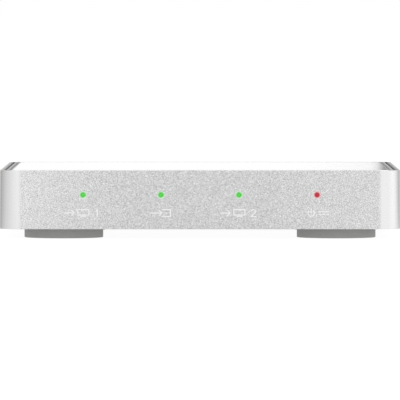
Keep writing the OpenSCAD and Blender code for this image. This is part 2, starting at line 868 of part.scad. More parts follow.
// Lead that leaves a moulded block at its side face and bends down to a foot on the board
module bent_lead(w)
    across(w, [
        [-lead_t, lead_rise], [lead_t, lead_rise], [lead_t, lead_t], [lead_reach, lead_t],
        [lead_reach, 0], [0, 0], [0, lead_rise - lead_t], [-lead_t, lead_rise - lead_t]
    ]);

module splitter_chip()
    color("black") translate([0, chip_y, board_top]) chip(chip_w, chip_w, chip_h, 0);

module thermal_pad()
    color("lightblue") translate([-chip_w / 2, chip_y - chip_w / 2, board_top + chip_h])
        cube([chip_w, chip_w, pad_t]);

module heat_sink()
    color("black") translate([0, chip_y + sink_w / 2, board_top + chip_h + pad_t]) push_in(sink_w) {
        translate([-sink_w / 2, 0]) square([sink_w, sink_base_t]);
        for (i = [0 : sink_fins - 1])
            translate([(sink_w - fin_t) * (i / (sink_fins - 1) - 0.5) - fin_t / 2, 0])
                square([fin_t, sink_h]);
    }

// Chip with bent leads along its two long sides
module leaded_chip(w, leads) {
    translate([0, 0, solder_gap]) chip(w, small_chip_d, small_chip_h, mould_draft);
    for (i = [0 : leads - 1], side = [0, 1])
        mirror([0, side, 0])
            translate([(i - (leads - 1) / 2) * lead_pitch, small_chip_d / 2, 0]) bent_lead(lead_w);
}

module control_chip()
    color("black") on_board(0, control_side, control_back)
        leaded_chip(control_w, floor(control_w / lead_pitch));

module edid_memories()
    color("black") for (i = [0 : 2])
        on_board(i, 0, memory_back) leaded_chip(memory_w, floor(memory_w / lead_pitch) + 1);

// Regulators with three leads in front and a wide cooling tab behind
module voltage_regulators()
    color("black") for (k = [0, 1])
        on_board(3, regulator_side, regulator_back + k * regulator_step) {
            translate([0, 0, solder_gap]) moulded(regulator_w, regulator_d, regulator_h);
            for (x = [-regulator_pitch, 0, regulator_pitch])
                translate([x, -regulator_d / 2, 0]) mirror([0, 1, 0]) bent_lead(2 * lead_w);
            translate([0, regulator_d / 2, 0]) bent_lead(regulator_tab_w);
        }

// Ferrite block with the ring-shaped gap round its core
module power_inductor()
    color("darkslategray") on_board(3, inductor_side, inductor_back) difference() {
        slab(inductor_w, inductor_w, inductor_r, 0, inductor_h);
        translate([0, 0, inductor_h - core_gap_depth]) rotate_extrude()
            translate([core_r, 0]) square([core_gap, core_gap_depth + cut]);
    }

// Upright metal cans, each with a crimped groove, on square bases with two corners cut
module bulk_capacitors()
    color("silver") {
        for (side = [-1, 1]) on_board(3, side * bulk_side, bulk_back) can_capacitor();
        on_board(3, bulk_far_side, bulk_far_back) can_capacitor();
    }

module can_capacitor() {
    half = bulk_base_w / 2;
    linear_extrude(bulk_base_h) polygon([
        [-half, -half], [half, -half],
        [half, half - bulk_base_chamfer], [half - bulk_base_chamfer, half],
        [bulk_base_chamfer - half, half], [-half, half - bulk_base_chamfer]
    ]);
    rotate_extrude() polygon([
        [0, 0], [bulk_r, 0], [bulk_r, bulk_groove_z],
        [bulk_r - bulk_groove_depth, bulk_groove_z + bulk_groove_h / 2],
        [bulk_r, bulk_groove_z + bulk_groove_h], [bulk_r, bulk_h], [0, bulk_h]
    ]);
}

module crystal()
    color("silver") on_board(1, crystal_side, crystal_back) {
        crystal_plate(crystal_flange, crystal_flange);
        crystal_plate(0, crystal_h);
    }

module crystal_plate(grow, h)
    linear_extrude(h) {
        square([crystal_d + 2 * grow, crystal_l - crystal_d], center = true);
        for (side = [-1, 1])
            translate([0, side * (crystal_l - crystal_d) / 2]) circle(d = crystal_d + 2 * grow);
    }

module protection_diode()
    color("black") on_board(3, 0, diode_back) {
        translate([0, 0, solder_gap]) rotate(90) moulded(diode_w, diode_l, diode_h);
        translate([-diode_l / 2 - lead_reach / 2, -diode_w / 4, 0])
            cube([diode_l + lead_reach, diode_w / 2, 2 * lead_t]);
    }

module surge_arrays()
    color("black") for (i = [0 : 2], side = [-1, 1])
        on_board(i, side * surge_side, surge_back) moulded(surge_w, surge_d, surge_h);

// Ceramic blocks with a slightly thicker metal cap at each end
module coupling_capacitors()
    color("tan") for (i = [0 : 2], k = [0 : coupling_count - 1])
        on_board(i, (k - (coupling_count - 1) / 2) * coupling_pitch, coupling_back) {
            block_w = coupling_w - 2 * coupling_cap_step;
            translate([-block_w / 2, coupling_cap_l / 2 - coupling_d / 2, coupling_cap_step])
                cube([block_w, coupling_d - coupling_cap_l, coupling_h - 2 * coupling_cap_step]);
            for (end = [0, 1]) mirror([0, end, 0])
                translate([-coupling_w / 2, coupling_d / 2 - coupling_cap_l, 0])
                    cube([coupling_w, coupling_cap_l, coupling_h]);
        }

body_frame();
top_cover();
top_seal();
cover_tape();
base_plate();
base_screws();
front_left_foot();
front_right_foot();
rear_left_foot();
rear_right_foot();
foot_tapes();
main_board();
board_screws();
output_1_shell();
input_shell();
output_2_shell();
output_1_insulator();
input_insulator();
output_2_insulator();
output_1_contacts();
input_contacts();
output_2_contacts();
jack_body();
jack_pin();
jack_leaf();
jack_terminal();
jack_switch_contact();
output_1_light_pipe();
input_light_pipe();
output_2_light_pipe();
power_light_pipe();
output_1_led();
input_led();
output_2_led();
power_led();
splitter_chip();
thermal_pad();
heat_sink();
control_chip();
edid_memories();
voltage_regulators();
power_inductor();
bulk_capacitors();
crystal();
protection_diode();
surge_arrays();
coupling_capacitors();
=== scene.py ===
"""Looks of a two-way video splitter: its finishes, lit indicators, front marks and stage."""
import math

import bmesh
import bpy
from mathutils import Matrix, Vector


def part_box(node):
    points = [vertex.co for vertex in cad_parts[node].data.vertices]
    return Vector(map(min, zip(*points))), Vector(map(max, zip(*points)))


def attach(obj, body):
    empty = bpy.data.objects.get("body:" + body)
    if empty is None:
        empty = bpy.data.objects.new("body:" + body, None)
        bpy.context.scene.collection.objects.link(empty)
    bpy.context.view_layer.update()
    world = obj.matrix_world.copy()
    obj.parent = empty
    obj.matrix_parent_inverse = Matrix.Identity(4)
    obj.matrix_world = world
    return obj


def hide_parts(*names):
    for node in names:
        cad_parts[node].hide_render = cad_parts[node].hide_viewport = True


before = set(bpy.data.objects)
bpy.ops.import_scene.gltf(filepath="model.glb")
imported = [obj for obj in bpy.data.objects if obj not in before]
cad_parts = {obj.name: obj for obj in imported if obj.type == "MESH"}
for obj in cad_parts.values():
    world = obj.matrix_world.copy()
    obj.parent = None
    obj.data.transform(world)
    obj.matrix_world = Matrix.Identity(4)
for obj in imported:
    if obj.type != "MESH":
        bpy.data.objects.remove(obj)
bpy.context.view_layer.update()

bl_info = {
    "name": "Video splitter looks",
    "version": (1, 0, 0),
    "blender": (4, 5, 0),
    "location": "3D View > Sidebar > Splitter",
    "description": "Dresses a two-way video splitter and sets its stage",
    "category": "Object",
}

CASE_BODY = "splitter"
MM = 0.001

FRAME_LOW, FRAME_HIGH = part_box("body_frame")
FRAME_MID_Z = (FRAME_LOW.z + FRAME_HIGH.z) / 2
COVER_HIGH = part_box("top_cover")[1]

PORTS = ("output_1", "input", "output_2", "power")
SOCKETS = PORTS[:3]
WHITE = (1.0, 1.0, 1.0, 1.0)


def opaque(colour, level=1.0):
    """A colour at a level, with nothing showing through."""
    return (*[level * part for part in colour], 1.0)


def grey(level):
    """An opaque neutral colour."""
    return opaque((level, level, level))


def pipe_box(port):
    """Lowest and highest corner of a port's light pipe."""
    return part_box(f"{port}_light_pipe")


class CaseLooks(bpy.types.PropertyGroup):
    """Sizes and colours of the frame, the cover and the feet."""

    corner_radius: bpy.props.FloatProperty(
        name="Corner radius", description="Radius of the frame's upright corners",
        default=5 * MM, unit="LENGTH")
    grain_size: bpy.props.FloatProperty(
        name="Grain size", description="Size of the blasted grain on the frame's flat faces",
        default=0.18 * MM, unit="LENGTH")
    frame_colour: bpy.props.FloatVectorProperty(
        name="Frame", description="Colour of the blasted aluminium",
        default=(0.625, 0.625, 0.628), min=0, max=1, subtype="COLOR")
    corner_colour: bpy.props.FloatVectorProperty(
        name="Corners", description="Colour of the smooth aluminium at the frame's corners",
        default=(0.81, 0.81, 0.815), min=0, max=1, subtype="COLOR")
    cover_colour: bpy.props.FloatVectorProperty(
        name="Cover", description="Colour of the glossy top cover",
        default=(0.90, 0.90, 0.905), min=0, max=1, subtype="COLOR")
    # Painted shade: the cover's lip is painted grey and its border groove darker, for the shadow in the joint
    # round the cover
    lip_shade_colour: bpy.props.FloatVectorProperty(
        name="Cover lip", description="Colour of the cover's lip outside its border groove",
        default=(0.52, 0.52, 0.525), min=0, max=1, subtype="COLOR")
    groove_shade_colour: bpy.props.FloatVectorProperty(
        name="Border groove", description="Colour of the cover's border groove",
        default=(0.31, 0.31, 0.31), min=0, max=1, subtype="COLOR")
    border_width: bpy.props.FloatProperty(
        name="Border width", description="Width of the cover's grey border, where the white begins",
        default=1.15 * MM, unit="LENGTH")
    foot_colour: bpy.props.FloatVectorProperty(
        name="Feet", description="Colour of the rubber feet",
        default=(0.39, 0.39, 0.38), min=0, max=1, subtype="COLOR")


class IndicatorLooks(bpy.types.PropertyGroup):
    """Sizes and colours of the lit indicators and of the marks under them."""

    pipe_radius: bpy.props.FloatProperty(
        name="Pipe radius", description="Radius of a light pipe's round end",
        default=0.65 * MM, unit="LENGTH")
    dome: bpy.props.FloatProperty(
        name="Dome", description="Height of the dome on a light pipe's round end",
        default=0.12 * MM, unit="LENGTH")
    collar_thickness: bpy.props.FloatProperty(
        name="Collar thickness", description="Thickness of a light pipe's collar",
        default=0.6 * MM, unit="LENGTH")
    leg_width: bpy.props.FloatProperty(
        name="Leg width", description="Width of a light pipe's leg over its diode",
        default=1.8 * MM, unit="LENGTH")
    wall: bpy.props.FloatProperty(
        name="Wall", description="Thickness of the frame's front wall",
        default=2.5 * MM, unit="LENGTH")
    linked_colour: bpy.props.FloatVectorProperty(
        name="Signal light", description="Light of the three signal indicators",
        default=(0.100, 0.770, 0.080), min=0, max=1, subtype="COLOR")
    power_colour: bpy.props.FloatVectorProperty(
        name="Power light", description="Light of the power indicator",
        default=(0.600, 0.030, 0.055), min=0, max=1, subtype="COLOR")
    mark_drop: bpy.props.FloatProperty(
        name="Mark drop", description="Distance from an indicator down to the middle of its mark",
        default=4.55 * MM, unit="LENGTH")
    stroke: bpy.props.FloatProperty(
        name="Stroke", description="Width of a printed line",
        default=0.28 * MM, unit="LENGTH")
    ink_thickness: bpy.props.FloatProperty(
        name="Ink thickness", description="Thickness of the printed ink",
        default=0.01 * MM, unit="LENGTH")
    ink_colour: bpy.props.FloatVectorProperty(
        name="Ink", description="Colour of the printed marks",
        default=(0.93, 0.93, 0.93), min=0, max=1, subtype="COLOR")


class StageLooks(bpy.types.PropertyGroup):
    """Camera, lights and floor."""

    camera_distance: bpy.props.FloatProperty(
        name="Camera distance", description="Distance from the camera to the frame's front face",
        default=1.673, unit="LENGTH")
    camera_height: bpy.props.FloatProperty(
        name="Camera height", description="Height of the camera above the floor",
        default=59.6 * MM, unit="LENGTH")
    lens: bpy.props.FloatProperty(
        name="Lens", description="Focal length on a 36 mm sensor", default=598.4, unit="CAMERA")
    aim_drop: bpy.props.FloatProperty(
        name="Aim drop", description="Distance from the front face's middle down to the camera's aim",
        default=0.05 * MM, unit="LENGTH")
    floor_size: bpy.props.FloatProperty(
        name="Floor size", description="Side of the floor", default=60.0, unit="LENGTH")
    floor_glow: bpy.props.FloatProperty(
        name="Floor glow", description="Share of the floor's white that no shadow takes away",
        default=0.92, min=0, max=1, subtype="FACTOR")
    sky_fill: bpy.props.FloatProperty(
        name="Fill", description="Level of the even light from all round", default=0.85, min=0, max=1)


class Shade:
    """A node tree in the making, with a short call for each kind of node."""

    def __init__(self, tree):
        self.tree = tree

    def feed(self, socket, value):
        """Links a socket to another, or sets its own value."""
        if isinstance(value, bpy.types.NodeSocket):
            self.tree.links.new(value, socket)
        else:
            socket.default_value = value

    def node(self, kind, inputs=None, **settings):
        """A new node with its settings and inputs."""
        made = self.tree.nodes.new("ShaderNode" + kind)
        for name, value in settings.items():
            setattr(made, name, value)
        for name, value in (inputs or {}).items():
            self.feed(made.inputs[name], value)
        return made

    def math(self, operation, a, b=0.0):
        """One sum of two values."""
        return self.node("Math", {0: a, 1: b}, operation=operation).outputs["Value"]

    def diagonal(self, across, up):
        """Length of the straight line that goes some way across and some way up."""
        squares = self.math("ADD", self.math("MULTIPLY", across, across), self.math("MULTIPLY", up, up))
        return self.math("SQRT", squares)

    def axes(self, vector):
        """The three coordinates of a vector."""
        return self.node("SeparateXYZ", {"Vector": vector}).outputs

    def span(self, value, low, high, to_low=0.0, to_high=1.0):
        """A value carried from one range to another, and held at its ends."""
        inputs = {"Value": value, "From Min": low, "From Max": high, "To Min": to_low, "To Max": to_high}
        return self.node("MapRange", inputs).outputs["Result"]

    def ramp(self, value, stops):
        """Colour at each of some values between 0 and 1."""
        made = self.node("ValToRGB", {"Fac": value})
        points = made.color_ramp.elements
        while len(points) < len(stops):
            points.new(0.5)
        for point, (position, colour) in zip(points, stops):
            point.position = position
            point.color = colour
        return made.outputs["Color"]

    def mix(self, share, a, b, blend="MIX"):
        """Colour a with a share of colour b over it, or blended with it in another way."""
        return self.node("Mix", {0: share, 6: a, 7: b}, data_type="RGBA", blend_type=blend).outputs[2]

    def scaled(self, colour, factor):
        """A colour made brighter or darker by a factor."""
        return self.node("VectorMath", {0: colour, "Scale": factor}, operation="SCALE").outputs["Vector"]

    def blend(self, share, a, b):
        """Shader a with a share of shader b in its place."""
        return self.node("MixShader", {0: share, 1: a, 2: b}).outputs["Shader"]

    def both(self, a, b):
        """Two shaders added together."""
        return self.node("AddShader", {0: a, 1: b}).outputs["Shader"]

    def paint(self, colour):
        """Matt surface of a colour."""
        return self.node("BsdfDiffuse", {"Color": colour}).outputs["BSDF"]

    def glow(self, colour, strength):
        """Light of a colour, given off evenly."""
        return self.node("Emission", {"Color": colour, "Strength": strength}).outputs["Emission"]


SOCKET_NAMES = {
    "base": "Base Color", "metallic": "Metallic", "roughness": "Roughness", "normal": "Normal",
    "specular": "Specular IOR Level", "tint": "Specular Tint", "coat": "Coat Weight",
    "coat_roughness": "Coat Roughness", "emission": "Emission Color", "glow": "Emission Strength",
}
SPECK_EDGE = (0.25, 0.5)


class Finish(Shade):
    """A piece's material in the making: patterns on the piece's own coordinates feed one surface."""

    def __init__(self, name, **sockets):
        self.material = bpy.data.materials.new(name)
        self.material.use_nodes = True
        super().__init__(self.material.node_tree)
        self.surface = self.tree.nodes["Principled BSDF"]
        self.place = self.node("TexCoord").outputs["Object"]
        self.set(**sockets)

    def set(self, **sockets):
        """Feeds the surface's sockets by their short names."""
        for name, value in sockets.items():
            self.feed(self.surface.inputs[SOCKET_NAMES[name]], value)

    def stretched(self, x=1.0, y=1.0, z=1.0):
        """Object coordinates, squeezed along each axis so that a pattern stretches along it."""
        return self.node("Mapping", {"Vector": self.place, "Scale": (x, y, z)}).outputs["Vector"]

    def turned(self, x, y, z):
        """Object coordinates, turned about each axis by an angle in degrees."""
        turn = [math.radians(angle) for angle in (x, y, z)]
        return self.node("Mapping", {"Vector": self.place, "Rotation": turn}).outputs["Vector"]

    def noise(self, size, detail=2.0, rough=0.5, vector=None):
        """Cloudy pattern whose blots are about a size across."""
        inputs = {"Vector": vector or self.place, "Scale": 1 / size, "Detail": detail, "Roughness": rough}
        return self.node("TexNoise", inputs).outputs["Fac"]

    def cells(self, size):
        """Cells of a size round scattered points: the distance to the point, and a colour for each cell."""
        return self.node("TexVoronoi", {"Vector": self.place, "Scale": 1 / size}).outputs

    def specks(self, size, share):
        """1 on round specks in a share of the cells of a size, and 0 between them."""
        cells = self.cells(size)
        draw = self.axes(cells["Color"])[0]
        chosen = self.math("GREATER_THAN", draw, 1 - share)
        return self.math("MULTIPLY", chosen, self.span(cells["Distance"], *SPECK_EDGE, 1.0, 0.0))

    def inset(self, high, radius):
        """Distance in from the edge of a centred, round-cornered rectangle with a given high corner."""
        x, y, _ = self.axes(self.place)
        past_x = self.math("SUBTRACT", self.math("ABSOLUTE", x), high.x - radius)
        past_y = self.math("SUBTRACT", self.math("ABSOLUTE", y), high.y - radius)
        corner = self.diagonal(self.math("MAXIMUM", past_x, 0.0), self.math("MAXIMUM", past_y, 0.0))
        straight = self.math("MINIMUM", self.math("MAXIMUM", past_x, past_y), 0.0)
        return self.math("SUBTRACT", radius, self.math("ADD", corner, straight))

    def bump(self, height, distance, strength=1.0):
        """Relief of a height pattern, as deep as a distance."""
        inputs = {"Height": height, "Distance": distance, "Strength": strength}
        self.set(normal=self.node("Bump", inputs).outputs["Normal"])


# Parts of a noise pattern's range that a finish is spread over
NOISE_CORE = (0.3, 0.7)
NOISE_WIDE = (0.25, 0.75)
NOISE_FULL = (0.2, 0.8)


def shades(colour, darker, lighter):
    """Two stops either side of a colour."""
    light = [min(lighter * part, 1.0) for part in colour]
    return [(0.0, opaque(colour, darker)), (1.0, opaque(light))]


def port_colour(port, looks):
    """Light of a port's indicator."""
    return tuple(looks.power_colour if port == "power" else looks.linked_colour)


def full_light(colour):
    """A light's colour at its brightest."""
    return Vector(colour) / max(colour)


def off_axis(f, port):
    """Distance from the middle of a port's light pipe, across it."""
    low, high = pipe_box(port)
    x, _, z = f.axes(f.place)
    across = f.math("SUBTRACT", x, (low.x + high.x) / 2)
    up = f.math("SUBTRACT", z, high.z - (high.x - low.x) / 2)
    return f.diagonal(across, up)


# Finish of the frame: a painted highlight makes the ends, and the left one more, a little brighter than the
# middle
GRAIN_TURN = (25, 35, 15)
GRAIN_RANGE = (0.31, 0.69)
GRAIN_SHADES = (0.36, 1.57)
MOTTLE_SHARE = 0.12
SPECK_SHARE = 0.08
END_SPAN = (0.3 * FRAME_HIGH.x, 0.9 * FRAME_HIGH.x)
END_HIGHLIGHT_SHARE = 0.14
END_PAINTED_HIGHLIGHT = 0.035
LEFT_SPAN = (-0.4 * FRAME_HIGH.x, -0.9 * FRAME_HIGH.x)
LEFT_PAINTED_HIGHLIGHT = 0.09
CORNER_FADE = 0.6 * MM
CORNER_LEAD = 0.4 * MM
CORNER_GLOSS = 0.20
SMOOTH_RELIEF = 0.04
RIM_WIDTH = 1.1 * MM
RIM_SPAN = (FRAME_HIGH.z - 0.06 * MM, FRAME_HIGH.z - 0.02 * MM)
RIM_SHADE_TONES = [(0.0, grey(1.0)), (0.45, grey(0.82)), (1.0, grey(0.42))]
SPILL_REACH = 0.45 * MM
SPILL_SHARE = 0.5


def blasted_tone(f, case, grain):
    """Tone of the blasted faces: a sparkling grain over a soft mottle, with a painted highlight towards the
    ends.
    """
    x = f.axes(f.place)[0]
    pale = opaque(case.corner_colour)
    mottle = f.ramp(f.noise(18 * case.grain_size), shades(case.frame_colour, 0.8, 1.2))
    tone = f.ramp(f.span(grain, *GRAIN_RANGE), shades(case.frame_colour, *GRAIN_SHADES))
    tone = f.mix(MOTTLE_SHARE, tone, mottle)
    ends = f.span(f.math("ABSOLUTE", x), *END_SPAN)
    left = f.span(x, *LEFT_SPAN)
    # Painted highlight: the ends, and the left end more, are mixed towards the pale corner colour and
    # brightened
    tone = f.mix(f.math("MULTIPLY", ends, END_HIGHLIGHT_SHARE), tone, pale)
    left_highlight = f.math("MULTIPLY", f.math("MULTIPLY", left, left), LEFT_PAINTED_HIGHLIGHT)
    painted_highlight = f.math("ADD", f.math("MULTIPLY", ends, END_PAINTED_HIGHLIGHT), left_highlight)
    tone = f.scaled(tone, f.math("ADD", 1.0, painted_highlight))
    return f.mix(f.specks(1.6 * case.grain_size, SPECK_SHARE), tone, pale)


def frame_aluminium(case, looks):
    """Blasted aluminium with smooth bright corners, a smooth rim with painted shade towards the cover, and
    light spilt by the indicators.
    """
    f = Finish("frame_aluminium", metallic=1.0, tint=grey(0.6))
    x, y, z = f.axes(f.place)
    tangent = FRAME_HIGH - Vector.Fill(3, case.corner_radius + CORNER_LEAD)
    past_side = f.span(f.math("ABSOLUTE", x), tangent.x, tangent.x + CORNER_FADE)
    past_end = f.span(f.math("ABSOLUTE", y), tangent.y, tangent.y + CORNER_FADE)
    smooth = f.math("MULTIPLY", past_side, past_end)
    grain = f.noise(case.grain_size, rough=0.6, vector=f.turned(*GRAIN_TURN))
    streaks = f.noise(1.2 * MM, vector=f.stretched(z=0.04))
    corners = f.ramp(streaks, shades(case.corner_colour, 0.97, 1.03))
    tone = f.mix(smooth, blasted_tone(f, case, grain), corners)
    # Painted shade: the rim's top darkens from its outer edge in towards the cover
    across_rim = f.math("DIVIDE", f.inset(FRAME_HIGH, case.corner_radius), RIM_WIDTH)
    on_rim = f.span(z, *RIM_SPAN)
    tone = f.mix(on_rim, tone, f.ramp(across_rim, RIM_SHADE_TONES))
    for port in PORTS:
        light = full_light(port_colour(port, looks)).lerp(Vector(case.corner_colour), SPILL_SHARE)
        spill = f.span(off_axis(f, port), looks.pipe_radius, looks.pipe_radius + SPILL_REACH, 1.0, 0.0)
        tone = f.mix(spill, tone, opaque(light))
    f.set(base=tone)
    gloss = f.math("MULTIPLY", smooth, CORNER_GLOSS)
    f.set(roughness=f.math("SUBTRACT", f.span(grain, *NOISE_FULL, 0.36, 0.50), gloss))
    relief = f.span(f.math("MAXIMUM", smooth, on_rim), 0.0, 1.0, 1.0, SMOOTH_RELIEF)
    f.bump(f.math("MULTIPLY", grain, relief), 0.012 * MM, strength=0.5)
    return f.material


# Finish of the cover, by the distance in from its edge
GROOVE_INSET = 1.0 * MM
GROOVE_EDGE = (0.2 * MM, 0.6 * MM)
BORDER_FADE = 1.7


def cover_white(case):
    """Glossy white cover with a faint orange peel, and a matt grey border of painted shade along its lip and
    groove.
    """
    f = Finish("cover_white", coat=0.6, coat_roughness=0.04)
    inset = f.inset(COVER_HIGH, case.corner_radius - (FRAME_HIGH.x - COVER_HIGH.x))
    f.set(base=f.ramp(f.noise(22 * MM, detail=3.0), shades(case.cover_colour, 0.985, 1.01)))
    f.set(roughness=f.span(f.noise(6 * MM), *NOISE_CORE, 0.08, 0.12))
    f.bump(f.noise(2.4 * MM, detail=1.0), 0.004 * MM, strength=0.25)
    grain = f.noise(0.3 * MM)
    # Painted shade: the matt border is grey on the lip and darker in the groove, for the shadow in the joint
    off_groove = f.math("ABSOLUTE", f.math("SUBTRACT", inset, GROOVE_INSET))
    groove = f.ramp(grain, shades(case.groove_shade_colour, 0.9, 1.1))
    lip = f.ramp(grain, shades(case.lip_shade_colour, 0.9, 1.1))
    border = f.paint(f.mix(f.span(off_groove, *GROOVE_EDGE), groove, lip))
    past_border = f.span(inset, case.border_width, BORDER_FADE * case.border_width)
    output = f.tree.nodes["Material Output"]
    f.feed(output.inputs["Surface"], f.blend(past_border, border, f.surface.outputs["BSDF"]))
    return f.material


PAINTED_LIGHT_SHARE = 0.45


def rubber(name, colour, speck, painted_light_height=0.0):
    """Matt rubber with a fine skin, with painted light that makes it paler from a height down to the floor.
    """
    f = Finish(name, specular=0.25)
    skin = f.noise(speck, detail=4.0, rough=0.65)
    clouds = f.noise(16 * speck)
    fine = f.ramp(skin, shades(colour, 0.82, 1.18))
    tone = f.mix(0.5, fine, f.ramp(clouds, shades(colour, 0.88, 1.12)))
    # Painted light: below the height the rubber is mixed towards a paler shade, most at the floor
    if painted_light_height:
        painted_light = f.span(f.axes(f.place)[2], 0.0, painted_light_height, PAINTED_LIGHT_SHARE, 0.0)
        tone = f.mix(painted_light, tone, f.ramp(skin, shades(colour, 1.3, 1.6)))
    f.set(base=tone)
    f.set(roughness=f.span(skin, *NOISE_CORE, 0.62, 0.85))
    f.bump(skin, 0.02 * MM, strength=0.5)
    return f.material


def seal_rubber():
    """Dark seal in the joint round the cover."""
    return rubber("seal_rubber", (0.085, 0.085, 0.086), 0.25 * MM)


def foot_rubber(case):
    """Grey rubber of the feet, with painted light that makes them paler towards the floor."""
    return rubber("foot_rubber", tuple(case.foot_colour), 0.35 * MM, FRAME_LOW.z)


def bond_tape():
    """Pale fibrous tape with adhesive on both sides."""
    f = Finish("bond_tape", specular=0.2)
    fibres = f.noise(0.6 * MM, detail=5.0, rough=0.7, vector=f.stretched(x=0.25))
    f.set(base=f.ramp(fibres, shades((0.55, 0.54, 0.50), 0.85, 1.15)))
    f.set(roughness=f.span(fibres, *NOISE_CORE, 0.7, 0.95))
    f.bump(fibres, 0.03 * MM, strength=0.4)
    return f.material


LINE_STRETCH = 0.03


def rolled_metal(name, colour, roughness, line_size, depth, run="x"):
    """Metal with fine lines that run along an axis, and a soft variation of tone."""
    f = Finish(name, metallic=1.0)
    stretch = {axis: LINE_STRETCH if axis == run else 1.0 for axis in "xyz"}
    lines = f.noise(line_size, detail=3.0, rough=0.6, vector=f.stretched(**stretch))
    clouds = f.noise(24 * line_size)
    fine = f.ramp(lines, shades(colour, 0.9, 1.1))
    f.set(base=f.mix(0.4, fine, f.ramp(clouds, shades(colour, 0.9, 1.1))))
    f.set(roughness=f.span(lines, *NOISE_WIDE, roughness - 0.06, roughness + 0.08))
    f.bump(lines, depth, strength=0.4)
    return f.material


def base_metal(case):
    """Blasted aluminium base plate, a little duller than the frame."""
    f = Finish("base_metal", metallic=1.0)
    colour = (0.58, 0.58, 0.585)
    grain = f.noise(0.9 * case.grain_size, detail=3.0, rough=0.7)
    clouds = f.noise(30 * case.grain_size)
    fine = f.ramp(grain, shades(colour, 0.78, 1.22))
    f.set(base=f.mix(0.3, fine, f.ramp(clouds, shades(colour, 0.9, 1.1))))
    f.set(roughness=f.span(grain, *NOISE_WIDE, 0.42, 0.58))
    f.bump(grain, 0.015 * MM, strength=0.5)
    return f.material


def screw_steel():
    """Plated steel with turning marks."""
    return rolled_metal("screw_steel", (0.56, 0.55, 0.53), 0.30, 0.12 * MM, 0.006 * MM, run="x")


def socket_metal():
    """Stamped and plated socket shells, with faint lines from rolling along their depth."""
    return rolled_metal("socket_metal", (0.64, 0.62, 0.59), 0.26, 0.16 * MM, 0.004 * MM, run="y")


def contact_gold():
    """Gold-plated contacts."""
    return rolled_metal("contact_gold", (0.86, 0.62, 0.26), 0.24, 0.10 * MM, 0.003 * MM, run="y")


def pin_metal():
    """Nickel-plated pin, turned across its length."""
    return rolled_metal("pin_metal", (0.66, 0.64, 0.60), 0.22, 0.12 * MM, 0.004 * MM, run="x")


def leaf_bronze():
    """Spring bronze, rolled along its length."""
    return rolled_metal("leaf_bronze", (0.72, 0.52, 0.30), 0.28, 0.12 * MM, 0.004 * MM, run="y")


def can_metal():
    """Drawn metal cans."""
    return rolled_metal("can_metal", (0.68, 0.68, 0.69), 0.28, 0.18 * MM, 0.005 * MM, run="z")


def moulded_plastic(name, colour, roughness, texture_size, depth):
    """Moulded plastic with a fine spark-eroded texture and faint flow marks."""
    f = Finish(name, specular=0.45)
    skin = f.noise(texture_size, detail=3.0, rough=0.6)
    flow = f.noise(18 * texture_size, detail=3.0, vector=f.stretched(y=0.4))
    fine = f.ramp(skin, shades(colour, 0.8, 1.2))
    f.set(base=f.mix(0.5, fine, f.ramp(flow, shades(colour, 0.85, 1.15))))
    f.set(roughness=f.span(skin, *NOISE_WIDE, roughness - 0.08, roughness + 0.10))
    f.bump(skin, depth, strength=0.5)
    return f.material


def black_plastic():
    """Black insulators and the jack's body."""
    return moulded_plastic("black_plastic", (0.022, 0.022, 0.023), 0.42, 0.14 * MM, 0.008 * MM)


def chip_black():
    """Moulded epoxy of the chips, with a dull filler grain."""
    return moulded_plastic("chip_black", (0.032, 0.032, 0.034), 0.58, 0.10 * MM, 0.006 * MM)


def sink_black():
    """Black anodised heat sink, with extrusion lines."""
    f = Finish("sink_black", metallic=0.6)
    lines = f.noise(0.2 * MM, detail=3.0, rough=0.6, vector=f.stretched(y=0.02))
    f.set(base=f.ramp(lines, shades((0.045, 0.045, 0.048), 0.75, 1.3)))
    f.set(roughness=f.span(lines, *NOISE_WIDE, 0.34, 0.50))
    f.bump(lines, 0.006 * MM, strength=0.5)
    return f.material


PORE_TONES = [(0.0, grey(0.02)), (0.35, grey(0.07)), (1.0, grey(0.09))]


def ferrite():
    """Sintered ferrite with open pores."""
    f = Finish("ferrite", specular=0.35)
    pores = f.cells(0.22 * MM)["Distance"]
    grain = f.noise(0.15 * MM, detail=3.0)
    fine = f.ramp(grain, shades((0.07, 0.07, 0.072), 0.7, 1.3))
    f.set(base=f.mix(0.4, f.ramp(pores, PORE_TONES), fine))
    f.set(roughness=f.span(grain, *NOISE_WIDE, 0.55, 0.75))
    f.bump(pores, 0.015 * MM, strength=0.5)
    return f.material


CAP_START = 0.45 * MM


def ceramic_tan():
    """Ceramic blocks with tinned caps at both ends."""
    f = Finish("ceramic_tan")
    low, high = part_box("coupling_capacitors")
    off_middle = f.math("SUBTRACT", f.axes(f.place)[1], (low.y + high.y) / 2)
    cap = f.math("GREATER_THAN", f.math("ABSOLUTE", off_middle), CAP_START)
    grain = f.noise(0.12 * MM, detail=3.0)
    body = f.ramp(grain, shades((0.44, 0.32, 0.20), 0.85, 1.15))
    tin = f.ramp(grain, shades((0.68, 0.67, 0.65), 0.88, 1.12))
    f.set(base=f.mix(cap, body, tin), metallic=cap)
    f.set(roughness=f.span(grain, *NOISE_WIDE, 0.30, 0.50))
    f.bump(grain, 0.005 * MM, strength=0.4)
    return f.material


def pad_grey():
    """Soft thermal pad with ceramic filler."""
    f = Finish("pad_grey", specular=0.3)
    filler = f.noise(0.15 * MM, detail=4.0, rough=0.7)
    f.set(base=f.ramp(filler, shades((0.34, 0.38, 0.42), 0.8, 1.2)))
    f.set(roughness=f.span(filler, *NOISE_CORE, 0.65, 0.85))
    f.bump(filler, 0.012 * MM, strength=0.5)
    return f.material


# Finish of the board: widths of the tracks are shares of their pitch
TRACK_PITCH = 1.3 * MM
TRACK_WANDER = 6 * MM
TRACK_EDGE = (0.14, 0.18)
POUR_EDGE = (0.52, 0.54)
POUR_HEIGHT = 0.8
CUT_EDGE = (0.03 * MM, 0.05 * MM)
MASK_COLOUR = (0.006, 0.060, 0.028, 1.0)
COPPER_COLOUR = (0.014, 0.125, 0.052, 1.0)
WEAVE_COLOUR = (0.01, 0.09, 0.04)
LAMINATE_COLOUR = (0.36, 0.30, 0.14)


